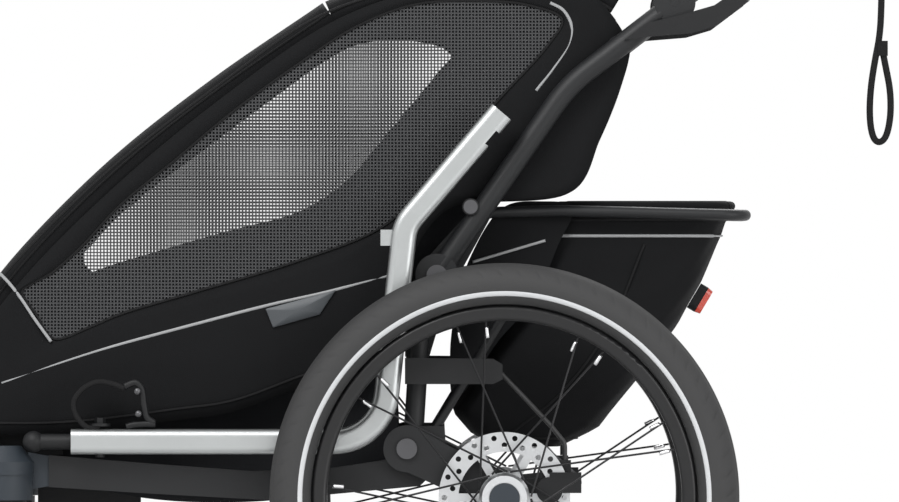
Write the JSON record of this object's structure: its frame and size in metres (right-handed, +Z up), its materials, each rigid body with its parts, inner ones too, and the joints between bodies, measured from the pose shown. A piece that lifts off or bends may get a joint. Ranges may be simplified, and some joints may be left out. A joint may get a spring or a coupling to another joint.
{
  "type": "child bicycle trailer",
  "caption": "Two-wheeled child trailer with a fabric cabin, folding frame parts, cargo bag, push bar, front casters and a stowed towing arm.",
  "frame": {"origin": "on the ground, in the middle of the overall length and width", "axes": "+Z up, the front of the trailer towards -X, its left side towards -Y"},
  "size_m": [1.054, 0.665, 0.983],
  "materials": {
    "frame_alloy": "satin powder coat",
    "arm_alloy": "satin anodised",
    "black_plastic": "fine moulded grain",
    "slate_plastic": "fine moulded grain",
    "tyre_rubber": "matt rubber with tread",
    "rim_black": "satin black",
    "spoke_black": "black",
    "hub_steel": "brushed",
    "cover_fabric": "coated canvas",
    "mesh_window": "fine mesh",
    "liner_fabric": "woven lining",
    "seat_fabric": "padded knit",
    "webbing": "woven webbing",
    "grip_foam": "foam rubber",
    "lens_red": "clear red",
    "screw_steel": "satin",
    "cable_black": "smooth outer"
  },
  "bodies": {
    "chassis": {"side_frames": "frame_alloy", "crossbars": "frame_alloy", "hinge_plates": "frame_alloy", "uprights": "frame_alloy", "top_crossbar": "frame_alloy", "frame_screws": "screw_steel", "bar_shrouds": "black_plastic", "roof_frame": "frame_alloy", "roof_canopy": "cover_fabric", "side_panels": "cover_fabric", "side_windows": "mesh_window", "footwell": "black_plastic", "floor_panel": "black_plastic", "seat_cushion": "seat_fabric", "seat_liner": "liner_fabric", "back_panel": "cover_fabric", "crotch_buckle": "black_plastic", "side_guards": "black_plastic", "caster_housings": "slate_plastic", "front_sockets": "frame_alloy", "bumper": "black_plastic", "arm_holders": "black_plastic"},
    "push_bar": {"push_bar": "frame_alloy", "bar_grip": "grip_foam", "wrist_strap": "webbing", "lever_mount": "black_plastic"},
    "brake_lever": {"brake_lever": "screw_steel"},
    "cargo_bag": {"cargo_bag": "cover_fabric", "bag_frame": "frame_alloy", "light_body": "black_plastic", "light_lens": "lens_red"},
    "parking_pedal": {"parking_pedal": "black_plastic"},
    "towing_arm": {"towing_arm": "arm_alloy", "arm_fittings": "black_plastic", "safety_strap": "webbing"},
    "seat_back": {"seat_back": "seat_fabric", "harness": "webbing"},
    "front_cover": {"front_cover": "cover_fabric"},
    "suspension_left": {"suspension_arm_left": "frame_alloy", "caliper_left": "black_plastic", "brake_cable_left": "cable_black"},
    "wheel_left": {"tyre_left": "tyre_rubber", "rim_left": "rim_black", "spokes_left": "spoke_black", "hub_left": "hub_steel"},
    "hub_cap_left": {"hub_cap_left": "slate_plastic"},
    "caliper_lever_left": {"caliper_lever_left": "screw_steel"},
    "caster_fork_left": {"caster_fork_left": "black_plastic"},
    "caster_wheel_left": {"caster_wheel_left": "black_plastic"},
    "suspension_right": {"suspension_arm_right": "frame_alloy", "caliper_right": "black_plastic", "brake_cable_right": "cable_black"},
    "wheel_right": {"tyre_right": "tyre_rubber", "rim_right": "rim_black", "spokes_right": "spoke_black", "hub_right": "hub_steel"},
    "hub_cap_right": {"hub_cap_right": "slate_plastic"},
    "caliper_lever_right": {"caliper_lever_right": "screw_steel"},
    "caster_fork_right": {"caster_fork_right": "black_plastic"},
    "caster_wheel_right": {"caster_wheel_right": "black_plastic"}
  },
  "joints": [
    {"name": "push_bar_tilt", "type": "hinge", "parent": "chassis", "child": "push_bar", "pos_m": [0.289, 0, 0.778], "axis": [0, 1, 0], "range_deg": [-15, 25]},
    {"name": "brake_lever_pull", "type": "hinge", "parent": "push_bar", "child": "brake_lever", "pos_m": [0.478, 0.136, 0.967], "axis": [0, 0, 1], "range_deg": [0, 12], "stiffness_Nm_per_rad": 1.5, "springref_deg": -8.59},
    {"name": "cargo_bag_tilt", "type": "hinge", "parent": "chassis", "child": "cargo_bag", "pos_m": [0.083, 0, 0.554], "axis": [0, -1, 0], "range_deg": [0, 36]},
    {"name": "parking_pedal_press", "type": "hinge", "parent": "chassis", "child": "parking_pedal", "pos_m": [0.003, 0, 0.288], "axis": [0, 1, 0], "range_deg": [0, 18]},
    {"name": "towing_arm_lift", "type": "slide", "parent": "chassis", "child": "towing_arm", "axis": [0, 0, 1], "range_m": [0, 0.04]},
    {"name": "seat_recline", "type": "hinge", "parent": "chassis", "child": "seat_back", "pos_m": [-0.021, 0, 0.404], "axis": [0, -1, 0], "range_deg": [0, 8]},
    {"name": "front_cover_open", "type": "hinge", "parent": "chassis", "child": "front_cover", "pos_m": [-0.088, 0, 0.779], "axis": [0, 1, 0], "range_deg": [0, 50]},
    {"name": "suspension_left_travel", "type": "hinge", "parent": "chassis", "child": "suspension_left", "pos_m": [0.003, -0.248, 0.302], "axis": [0, -1, 0], "range_deg": [0, 5], "stiffness_Nm_per_rad": 300, "springref_deg": -4.58},
    {"name": "wheel_left_spin", "type": "hinge", "parent": "suspension_left", "child": "wheel_left", "pos_m": [0.107, -0.3, 0.25], "axis": [0, 1, 0], "continuous": true},
    {"name": "hub_cap_left_press", "type": "slide", "parent": "wheel_left", "child": "hub_cap_left", "axis": [0, 1, 0], "range_m": [0, 0.003], "stiffness_N_per_m": 600, "springref_m": -0.001},
    {"name": "caliper_lever_left_turn", "type": "hinge", "parent": "suspension_left", "child": "caliper_lever_left", "pos_m": [0.183, -0.248, 0.266], "axis": [0, 1, 0], "range_deg": [0, 10]},
    {"name": "caster_left_swivel", "type": "hinge", "parent": "chassis", "child": "caster_fork_left", "pos_m": [-0.429, -0.238, 0.24], "axis": [0, 0, 1], "continuous": true},
    {"name": "caster_wheel_left_spin", "type": "hinge", "parent": "caster_fork_left", "child": "caster_wheel_left", "pos_m": [-0.384, -0.238, 0.085], "axis": [0, 1, 0], "continuous": true},
    {"name": "suspension_right_travel", "type": "hinge", "parent": "chassis", "child": "suspension_right", "pos_m": [0.003, 0.248, 0.302], "axis": [0, -1, 0], "range_deg": [0, 5], "stiffness_Nm_per_rad": 300, "springref_deg": -4.58},
    {"name": "wheel_right_spin", "type": "hinge", "parent": "suspension_right", "child": "wheel_right", "pos_m": [0.107, 0.3, 0.25], "axis": [0, 1, 0], "continuous": true},
    {"name": "hub_cap_right_press", "type": "slide", "parent": "wheel_right", "child": "hub_cap_right", "axis": [0, -1, 0], "range_m": [0, 0.003], "stiffness_N_per_m": 600, "springref_m": -0.001},
    {"name": "caliper_lever_right_turn", "type": "hinge", "parent": "suspension_right", "child": "caliper_lever_right", "pos_m": [0.183, 0.248, 0.266], "axis": [0, 1, 0], "range_deg": [0, 10]},
    {"name": "caster_right_swivel", "type": "hinge", "parent": "chassis", "child": "caster_fork_right", "pos_m": [-0.429, 0.238, 0.24], "axis": [0, 0, 1], "continuous": true},
    {"name": "caster_wheel_right_spin", "type": "hinge", "parent": "caster_fork_right", "child": "caster_wheel_right", "pos_m": [-0.384, 0.238, 0.085], "axis": [0, 1, 0], "continuous": true}
  ],
  "couplings": [
    {"joint": "caliper_lever_left_turn", "follows": "brake_lever_pull", "ratio": 0.8},
    {"joint": "caliper_lever_right_turn", "follows": "brake_lever_pull", "ratio": 0.8}
  ]
}
